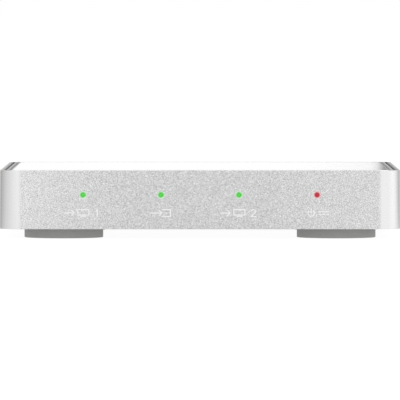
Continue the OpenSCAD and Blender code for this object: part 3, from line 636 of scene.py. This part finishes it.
def board_laminate():
    """Green solder mask over copper tracks, with bare laminate at the cut edges."""
    f = Finish("board_laminate", coat=0.25, coat_roughness=0.2)
    x, _, z = f.axes(f.place)
    low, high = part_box("main_board")
    wander = f.math("MULTIPLY", f.noise(9 * MM, detail=1.0), TRACK_WANDER)
    lane = f.math("FRACT", f.math("DIVIDE", f.math("ADD", x, wander), TRACK_PITCH))
    off_track = f.math("ABSOLUTE", f.math("SUBTRACT", lane, 0.5))
    track = f.span(off_track, *TRACK_EDGE, 1.0, 0.0)
    pours = f.span(f.noise(7 * MM, detail=1.0), *POUR_EDGE)
    open_track = f.math("MULTIPLY", track, f.math("SUBTRACT", 1.0, pours))
    copper = f.math("MAXIMUM", open_track, f.math("MULTIPLY", pours, POUR_HEIGHT))
    weave = f.noise(0.4 * MM)
    mask = f.mix(copper, MASK_COLOUR, COPPER_COLOUR)
    mask = f.mix(0.15, mask, f.ramp(weave, shades(WEAVE_COLOUR, 0.7, 1.3)))
    depth = f.math("MINIMUM", f.math("SUBTRACT", high.z, z), f.math("SUBTRACT", z, low.z))
    laminate = f.ramp(weave, shades(LAMINATE_COLOUR, 0.8, 1.2))
    f.set(base=f.mix(f.span(depth, *CUT_EDGE), mask, laminate))
    f.set(roughness=f.span(weave, *NOISE_CORE, 0.28, 0.42))
    f.bump(copper, 0.03 * MM, strength=0.6)
    return f.material


# Levels of a lit pipe's end
PIPE_BRIGHT = 0.92
PIPE_DEEP = 0.66
PIPE_DIM = 0.15
PALE_TINT = 0.45
PALE_LIFT = 0.2


def lit_pipe(name, port, colour, radius):
    """Tinted clear pipe, lit from inside: brightest at its middle, then a deeper ring and a pale edge."""
    f = Finish(name, specular=0.25, glow=1.0)
    frost = f.noise(0.2 * MM)
    bright = opaque(colour, PIPE_BRIGHT)
    deep = opaque(colour, PIPE_DEEP)
    dim = opaque(colour, PIPE_DIM)
    pale = opaque([PALE_TINT * part + PALE_LIFT for part in full_light(colour)])
    rings = [
        (0.0, bright), (0.2, bright), (0.4, deep), (0.72, deep),
        (0.93, pale), (0.97, pale), (0.99, dim),
    ]
    f.set(emission=f.ramp(f.math("DIVIDE", off_axis(f, port), radius), rings))
    f.set(base=f.ramp(frost, shades(colour, 0.06, 0.12)))
    f.set(roughness=f.span(frost, *NOISE_CORE, 0.25, 0.4))
    f.bump(frost, 0.004 * MM, strength=0.3)
    return f.material


def lamp_body(name, colour):
    """Diode: a pale moulded body that glows through its lens."""
    f = Finish(name, glow=0.8, specular=0.4)
    skin = f.noise(0.1 * MM, detail=3.0)
    f.set(base=f.ramp(skin, shades((0.75, 0.74, 0.68), 0.9, 1.1)))
    f.set(emission=f.ramp(skin, shades(colour, 0.7, 1.0)))
    f.set(roughness=f.span(skin, *NOISE_CORE, 0.3, 0.5))
    f.bump(skin, 0.004 * MM, strength=0.4)
    return f.material


def mark_ink(looks):
    """Pale printed ink that takes a little of the grain under it."""
    f = Finish("mark_ink", specular=0.3)
    grain = f.noise(0.3 * MM, detail=3.0, rough=0.7)
    f.set(base=f.ramp(grain, shades(looks.ink_colour, 0.86, 1.08)))
    f.set(roughness=f.span(grain, *NOISE_CORE, 0.5, 0.7))
    f.bump(grain, 0.006 * MM, strength=0.4)
    return f.material


def dress(material, *nodes):
    """Gives a finish to pieces of the frame."""
    for name in nodes:
        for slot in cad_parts[name].material_slots:
            slot.material = material


def add_piece(name, mesh, material, replaced=()):
    """Adds a new piece to the case body, in place of the nodes that it stands for."""
    data = bpy.data.meshes.new(name)
    mesh.to_mesh(data)
    mesh.free()
    data.materials.append(material)
    piece = bpy.data.objects.new(name, data)
    bpy.context.scene.collection.objects.link(piece)
    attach(piece, CASE_BODY)
    if replaced:
        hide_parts(*replaced)


class SPLITTER_OT_dress_frame(bpy.types.Operator):
    """Finish the aluminium frame"""

    bl_idname = "splitter.dress_frame"
    bl_label = "Dress the frame"

    def execute(self, context):
        dress(frame_aluminium(context.scene.splitter_case, context.scene.splitter_indicators), "body_frame")
        return {"FINISHED"}


class SPLITTER_OT_dress_cover(bpy.types.Operator):
    """Finish the white cover and the seal round it, and the tapes that bond cover and feet"""

    bl_idname = "splitter.dress_cover"
    bl_label = "Dress the cover"

    def execute(self, context):
        dress(cover_white(context.scene.splitter_case), "top_cover")
        dress(seal_rubber(), "top_seal")
        dress(bond_tape(), "cover_tape", "foot_tapes")
        return {"FINISHED"}


class SPLITTER_OT_dress_base(bpy.types.Operator):
    """Finish the base plate, the screws and the four feet"""

    bl_idname = "splitter.dress_base"
    bl_label = "Dress the base"

    def execute(self, context):
        case = context.scene.splitter_case
        dress(base_metal(case), "base_plate")
        dress(screw_steel(), "base_screws", "board_screws")
        feet = [f"{end}_{side}_foot" for end in ("front", "rear") for side in ("left", "right")]
        dress(foot_rubber(case), *feet)
        return {"FINISHED"}


class SPLITTER_OT_dress_ports(bpy.types.Operator):
    """Finish the video sockets and the power jack"""

    bl_idname = "splitter.dress_ports"
    bl_label = "Dress the ports"

    def execute(self, context):
        dress(socket_metal(), *[f"{port}_shell" for port in SOCKETS])
        dress(black_plastic(), *[f"{port}_insulator" for port in SOCKETS], "jack_body")
        dress(contact_gold(), *[f"{port}_contacts" for port in SOCKETS])
        dress(pin_metal(), "jack_pin")
        dress(leaf_bronze(), "jack_leaf", "jack_terminal", "jack_switch_contact")
        return {"FINISHED"}


class SPLITTER_OT_dress_board(bpy.types.Operator):
    """Finish the board and what is soldered to it"""

    bl_idname = "splitter.dress_board"
    bl_label = "Dress the board"

    def execute(self, context):
        dress(board_laminate(), "main_board")
        dress(chip_black(), "splitter_chip", "control_chip", "edid_memories", "voltage_regulators",
              "protection_diode", "surge_arrays")
        dress(pad_grey(), "thermal_pad")
        dress(sink_black(), "heat_sink")
        dress(ferrite(), "power_inductor")
        dress(can_metal(), "bulk_capacitors", "crystal")
        dress(ceramic_tan(), "coupling_capacitors")
        return {"FINISHED"}


# Light pipes
DOME_STEPS = 4
PIPE_STEPS = 40
WELD = 0.001 * MM
SHARP_EDGE = 35


def box_matrix(low, high):
    """Place and size of a box between two corners."""
    return Matrix.LocRotScale((low + high) / 2, None, high - low)


def smooth_round(mesh):
    """Shades round surfaces smooth, and keeps sharp edges."""
    for face in mesh.faces:
        face.smooth = True
    for edge in mesh.edges:
        edge.smooth = edge.calc_face_angle(math.pi) < math.radians(SHARP_EDGE)


def light_pipe(port, looks):
    """Round pipe with a domed end and a collar, and a leg with a slanted mirror over its diode."""
    low, high = pipe_box(port)
    mesh = bmesh.new()
    middle_x = (low.x + high.x) / 2
    collar = (high.x - low.x) / 2
    axis_z = high.z - collar
    collar_y = FRAME_LOW.y + looks.wall
    leg_y = collar_y + looks.collar_thickness
    outline = [(0.0, low.y)]
    for step in range(1, DOME_STEPS + 1):
        turn = step / DOME_STEPS * math.pi / 2
        outline.append((looks.pipe_radius * math.sin(turn), low.y + looks.dome * (1 - math.cos(turn))))
    outline += [(looks.pipe_radius, collar_y), (collar, collar_y), (collar, leg_y), (0.0, leg_y)]
    points = [mesh.verts.new((middle_x + reach, y, axis_z)) for reach, y in outline]
    edges = [mesh.edges.new(pair) for pair in zip(points, points[1:])]
    bmesh.ops.spin(mesh, geom=points + edges, cent=(middle_x, 0, axis_z), axis=(0, 1, 0), angle=math.tau,
                   steps=PIPE_STEPS, use_merge=True)
    bmesh.ops.remove_doubles(mesh, verts=mesh.verts, dist=WELD)
    leg_low = Vector((middle_x - looks.leg_width / 2, leg_y, low.z))
    leg_high = Vector((middle_x + looks.leg_width / 2, high.y, axis_z + looks.leg_width / 2))
    leg = bmesh.ops.create_cube(mesh, size=1.0, matrix=box_matrix(leg_low, leg_high))["verts"]
    for corner in leg:
        if corner.co.z > axis_z and corner.co.y > leg_y + looks.leg_width / 2:
            corner.co.z = axis_z - looks.leg_width / 2
    bmesh.ops.recalc_face_normals(mesh, faces=mesh.faces)
    smooth_round(mesh)
    return mesh


class SPLITTER_OT_make_indicators(bpy.types.Operator):
    """Make the lit light pipes and finish the diodes under them"""

    bl_idname = "splitter.make_indicators"
    bl_label = "Make the indicators"

    def execute(self, context):
        looks = context.scene.splitter_indicators
        for port in PORTS:
            colour = port_colour(port, looks)
            light = lit_pipe(f"{port}_light", port, colour, looks.pipe_radius)
            add_piece(f"{port}_lit_pipe", light_pipe(port, looks), light, [f"{port}_light_pipe"])
            dress(lamp_body(f"{port}_diode", colour), f"{port}_led")
        return {"FINISHED"}


# Printed marks: sizes in millimetres, angles in degrees
HALF_HEIGHT = 0.85
ARROW_HEAD = 0.55
SCREEN_HALF_WIDTH = 1.4
SCREEN_FOOT = -0.5
STAND_HALF_WIDTH = 0.6
FLAG = 0.35
BOW_RADIUS = 0.5
BOW_END = (0.43, 0.1)
CURRENT_LINE = 0.3
DASH_LINE = -0.35
DASH_LENGTH = 0.5
DASH_STARTS = (0.5, 1.45, 2.4)
ARC_STEP = 12
INK_STEP = 0.001 * MM


class Print:
    """Thin printed lines on the front face, drawn in millimetres right and up from a mark's middle."""

    def __init__(self, x, z, looks):
        self.mesh = bmesh.new()
        self.x, self.z = x, z
        self.stroke = looks.stroke
        self.ink = looks.ink_thickness

    def place(self, right, up):
        """A point of the mark, on the front face."""
        return Vector((self.x + right * MM, FRAME_LOW.y, self.z + up * MM))

    def layer(self):
        """Thickness of the next stroke, a little over the last one's, so that no two share a surface."""
        self.ink += INK_STEP
        return 2 * self.ink

    def line(self, *points):
        """Straight lines from point to point."""
        for start, end in zip(points, points[1:]):
            a, b = self.place(*start), self.place(*end)
            size = Vector(((b - a).length + self.stroke, self.layer(), self.stroke))
            turn = Matrix.Rotation(-math.atan2(b.z - a.z, b.x - a.x), 3, "Y").to_quaternion()
            bmesh.ops.create_cube(self.mesh, size=1.0, matrix=Matrix.LocRotScale((a + b) / 2, turn, size))

    def arc(self, centre, radius, start, sweep):
        """Part of a circle, from a clock-face angle in degrees and turning with the clock."""
        middle = self.place(*centre)
        square = bmesh.ops.create_grid(self.mesh, x_segments=1, y_segments=1, size=0.5)["verts"]
        upright = Matrix.Diagonal((1, self.layer(), self.stroke, 1)) @ Matrix.Rotation(math.pi / 2, 4, "Y")
        begin = Matrix.Rotation(math.radians(start), 4, "Y") @ Matrix.Translation((0, 0, radius * MM))
        bmesh.ops.transform(self.mesh, matrix=Matrix.Translation(middle) @ begin @ upright, verts=square)
        face = square[0].link_faces[0]
        bmesh.ops.spin(self.mesh, geom=[face, *face.edges, *face.verts], cent=middle, axis=(0, 1, 0),
                       angle=math.radians(sweep), steps=max(3, round(abs(sweep) / ARC_STEP)))

    def arrow(self, start, end):
        """Line to the right with an open head."""
        self.line((start, 0), (end, 0))
        self.line((end - ARROW_HEAD, ARROW_HEAD), (end, 0), (end - ARROW_HEAD, -ARROW_HEAD))

    def screen(self, middle):
        """Wide screen on a small stand."""
        left, right = middle - SCREEN_HALF_WIDTH, middle + SCREEN_HALF_WIDTH
        self.line((left, HALF_HEIGHT), (right, HALF_HEIGHT), (right, SCREEN_FOOT), (left, SCREEN_FOOT),
                  (left, HALF_HEIGHT))
        self.line((middle - STAND_HALF_WIDTH, -HALF_HEIGHT), (middle + STAND_HALF_WIDTH, -HALF_HEIGHT))

    def one(self, middle):
        """Figure one."""
        self.line((middle - FLAG, HALF_HEIGHT - FLAG), (middle, HALF_HEIGHT), (middle, -HALF_HEIGHT))

    def two(self, middle):
        """Figure two: a bow, a slanted stroke from the bow's end, and a foot."""
        self.arc((middle, HALF_HEIGHT - BOW_RADIUS), BOW_RADIUS, start=-80, sweep=200)
        right, up = BOW_END
        self.line((middle + right, up), (middle - BOW_RADIUS, -HALF_HEIGHT),
                  (middle + BOW_RADIUS, -HALF_HEIGHT))

    def to_screen(self, figure):
        """Arrow to a screen, with a figure after it."""
        self.arrow(start=-4.6, end=-2.2)
        self.screen(middle=0.1)
        figure(middle=3.6)

    def signal_in(self):
        """Arrow into an open box."""
        left, right = 0.4, 2.4
        self.arrow(start=-2.9, end=0.2)
        self.line((left, HALF_HEIGHT), (right, HALF_HEIGHT), (right, -HALF_HEIGHT), (left, -HALF_HEIGHT))

    def power(self):
        """Power sign, with the sign for direct current beside it."""
        middle = -1.5
        self.arc((middle, 0), radius=0.8, start=40, sweep=280)
        self.line((middle, 0.95), (middle, 0.1))
        self.line((DASH_STARTS[0], CURRENT_LINE), (DASH_STARTS[-1] + DASH_LENGTH, CURRENT_LINE))
        for dash in DASH_STARTS:
            self.line((dash, DASH_LINE), (dash + DASH_LENGTH, DASH_LINE))


def print_mark(port, looks):
    """Mark under a port's indicator: to screen one or two, signal in, or power."""
    low, high = pipe_box(port)
    collar = (high.x - low.x) / 2
    mark = Print((low.x + high.x) / 2, high.z - collar - looks.mark_drop, looks)
    if port == "power":
        mark.power()
    elif port == "input":
        mark.signal_in()
    else:
        mark.to_screen(mark.one if port == "output_1" else mark.two)
    bmesh.ops.recalc_face_normals(mark.mesh, faces=mark.mesh.faces)
    return mark.mesh


class SPLITTER_OT_print_marks(bpy.types.Operator):
    """Print the pale marks under the indicators"""

    bl_idname = "splitter.print_marks"
    bl_label = "Print the marks"

    def execute(self, context):
        looks = context.scene.splitter_indicators
        ink = mark_ink(looks)
        for port in PORTS:
            add_piece(f"{port}_mark", print_mark(port, looks), ink)
        return {"FINISHED"}


# White of the studio by the angle round the object, in degrees from the front towards the right
STUDIO_ROUND = {
    -180: 1.0, -160: 1.0, -135: 0.45, -105: 0.54, -75: 0.73, -45: 0.88, -15: 1.0,
    50: 0.985, 80: 1.04, 95: 0.97, 115: 0.63, 140: 0.62, 160: 1.0, 180: 1.0,
}
# Soft edge of a dark card behind the cover's right end, and the angle where the card ends
CARD_EDGE = {178.41: 0.15, 178.47: 0.78, 178.53: 0.92, 179.2: 1.0}
CARD_END = 174
CARD_FADE = 10
# Level of the floor close to the splitter, as its underside mirrors it, and how far that reaches
UNDERSIDE = 0.8
UNDERSIDE_SPAN = (FRAME_HIGH.x, 1.3 * FRAME_HIGH.x)
# Level of the floor to camera and gloss, then its paint and light towards the splitter
FLOOR_WHITE = 1.08
FLOOR_PAINT = 0.4
FLOOR_LIGHT = 0.45
LAMPS = {
    "left_softbox": {"place": (-0.5, -1.2, 0.9), "width": 0.8, "height": 0.8, "level": 0.8},
    "right_softbox": {"place": (1.1, -0.35, 0.55), "width": 0.6, "height": 0.9, "level": 1.3},
    "overhead_softbox": {"place": (0.0, 0.1, 1.3), "width": 1.2, "height": 1.0, "level": 0.6},
}
SENSOR_WIDTH = 36.0
CLIP_END = 200.0


def level_round(shade, turn, levels):
    """Grey at an angle, from levels at a few angles in degrees."""
    first, last = min(levels), max(levels)
    stops = [((degrees - first) / (last - first), grey(level)) for degrees, level in levels.items()]
    return shade.ramp(shade.span(turn, math.radians(first), math.radians(last)), stops)


def studio_white(shade, direction, under=0.0):
    """Level of the studio's white in a direction, and which rays see it: camera, gloss and clear."""
    x, y, _ = shade.axes(direction)
    turn = shade.math("ARCTAN2", x, shade.math("MULTIPLY", y, -1.0))
    sides = level_round(shade, turn, STUDIO_ROUND)
    carded = shade.mix(1.0, sides, level_round(shade, turn, CARD_EDGE), blend="MULTIPLY")
    past_card = shade.span(turn, math.radians(CARD_END - CARD_FADE), math.radians(CARD_END), 1.0, 0.0)
    sides = shade.mix(past_card, carded, sides)
    sides = shade.mix(under, sides, grey(UNDERSIDE))
    path = shade.node("LightPath").outputs
    level = shade.mix(path["Is Camera Ray"], sides, WHITE)
    seen = shade.math("MAXIMUM", path["Is Camera Ray"], path["Is Glossy Ray"])
    return level, shade.math("MAXIMUM", seen, path["Is Transmission Ray"])


def floor_white(stage):
    """Pale paint that looks white and still takes a soft shadow. From below it is clear."""
    material = bpy.data.materials.new("floor_white")
    material.use_nodes = True
    material.node_tree.nodes.clear()
    shade = Shade(material.node_tree)
    place = shade.node("TexCoord").outputs["Object"]
    reach = shade.node("VectorMath", {0: place}, operation="LENGTH").outputs["Value"]
    level, seen = studio_white(shade, place, shade.span(reach, *UNDERSIDE_SPAN, 1.0, 0.0))
    shadowed = shade.paint(grey(FLOOR_WHITE - stage.floor_glow))
    white = shade.both(shadowed, shade.glow(level, stage.floor_glow))
    table = shade.both(shade.paint(grey(FLOOR_PAINT)), shade.glow(WHITE, FLOOR_LIGHT))
    top = shade.blend(seen, table, white)
    clear = shade.node("BsdfTransparent").outputs["BSDF"]
    from_below = shade.node("NewGeometry").outputs["Backfacing"]
    shade.node("OutputMaterial", {"Surface": shade.blend(from_below, top, clear)})
    return material


def lay_floor(stage):
    """Wide floor under the splitter."""
    mesh = bmesh.new()
    bmesh.ops.create_grid(mesh, x_segments=1, y_segments=1, size=stage.floor_size / 2)
    data = bpy.data.meshes.new("floor")
    mesh.to_mesh(data)
    mesh.free()
    data.materials.append(floor_white(stage))
    floor = bpy.data.objects.new("floor", data)
    bpy.context.scene.collection.objects.link(floor)


def light_sky(scene, stage):
    """Even light from all round, in front of a white background."""
    world = bpy.data.worlds.new("studio")
    world.use_nodes = True
    scene.world = world
    shade = Shade(world.node_tree)
    level, seen = studio_white(shade, shade.node("TexCoord").outputs["Generated"])
    back = shade.tree.nodes["Background"]
    shade.feed(back.inputs["Color"], shade.mix(seen, grey(stage.sky_fill), level))


def hang_lamps():
    """Large soft lamps, each as bright as its level times white."""
    aim = Vector((0, 0, FRAME_MID_Z))
    for name, lamp in LAMPS.items():
        data = bpy.data.lights.new(name, "AREA")
        data.shape = "RECTANGLE"
        data.size = lamp["width"]
        data.size_y = lamp["height"]
        data.energy = lamp["level"] * math.pi * lamp["width"] * lamp["height"]
        light = bpy.data.objects.new(name, data)
        light.location = lamp["place"]
        light.rotation_mode = "QUATERNION"
        light.rotation_quaternion = (aim - light.location).to_track_quat("-Z", "Y")
        bpy.context.scene.collection.objects.link(light)


def set_camera(scene, stage):
    """A long lens in front of the splitter, a little above the cover and aimed at the front face's middle."""
    data = bpy.data.cameras.new("camera")
    data.lens = stage.lens
    data.sensor_width = SENSOR_WIDTH
    data.clip_end = CLIP_END
    camera = bpy.data.objects.new("camera", data)
    target = Vector((0, FRAME_LOW.y, FRAME_MID_Z - stage.aim_drop))
    camera.location = (0, FRAME_LOW.y - stage.camera_distance, stage.camera_height)
    camera.rotation_mode = "QUATERNION"
    camera.rotation_quaternion = (target - camera.location).to_track_quat("-Z", "Y")
    scene.collection.objects.link(camera)
    scene.camera = camera


class SPLITTER_OT_set_stage(bpy.types.Operator):
    """Set the floor, the lights and the camera"""

    bl_idname = "splitter.set_stage"
    bl_label = "Set the stage"

    def execute(self, context):
        stage = context.scene.splitter_stage
        context.scene.view_settings.view_transform = "Standard"
        lay_floor(stage)
        light_sky(context.scene, stage)
        hang_lamps()
        set_camera(context.scene, stage)
        return {"FINISHED"}


GROUPS = {"splitter_case": CaseLooks, "splitter_indicators": IndicatorLooks, "splitter_stage": StageLooks}
STEPS = (
    SPLITTER_OT_set_stage,
    SPLITTER_OT_dress_frame,
    SPLITTER_OT_dress_cover,
    SPLITTER_OT_dress_base,
    SPLITTER_OT_dress_ports,
    SPLITTER_OT_dress_board,
    SPLITTER_OT_make_indicators,
    SPLITTER_OT_print_marks,
)


class SPLITTER_PT_build(bpy.types.Panel):
    """Lists the steps that dress the splitter"""

    bl_idname = "SPLITTER_PT_build"
    bl_label = "Video splitter"
    bl_space_type = "VIEW_3D"
    bl_region_type = "UI"
    bl_category = "Splitter"

    def draw(self, context):
        for step in STEPS:
            self.layout.operator(step.bl_idname)
        for group in GROUPS:
            looks = getattr(context.scene, group)
            for name in looks.__annotations__:
                self.layout.prop(looks, name)


def register():
    for group in GROUPS.values():
        bpy.utils.register_class(group)
    for name, group in GROUPS.items():
        setattr(bpy.types.Scene, name, bpy.props.PointerProperty(type=group))
    for step in STEPS:
        bpy.utils.register_class(step)
    bpy.utils.register_class(SPLITTER_PT_build)


def unregister():
    bpy.utils.unregister_class(SPLITTER_PT_build)
    for step in reversed(STEPS):
        bpy.utils.unregister_class(step)
    for name in GROUPS:
        delattr(bpy.types.Scene, name)
    for group in reversed(list(GROUPS.values())):
        bpy.utils.unregister_class(group)


def main():
    register()
    bpy.ops.splitter.set_stage()
    bpy.ops.splitter.dress_frame()
    bpy.ops.splitter.dress_cover()
    bpy.ops.splitter.dress_base()
    bpy.ops.splitter.dress_ports()
    bpy.ops.splitter.dress_board()
    bpy.ops.splitter.make_indicators()
    bpy.ops.splitter.print_marks()


if __name__ == "__main__":
    main()
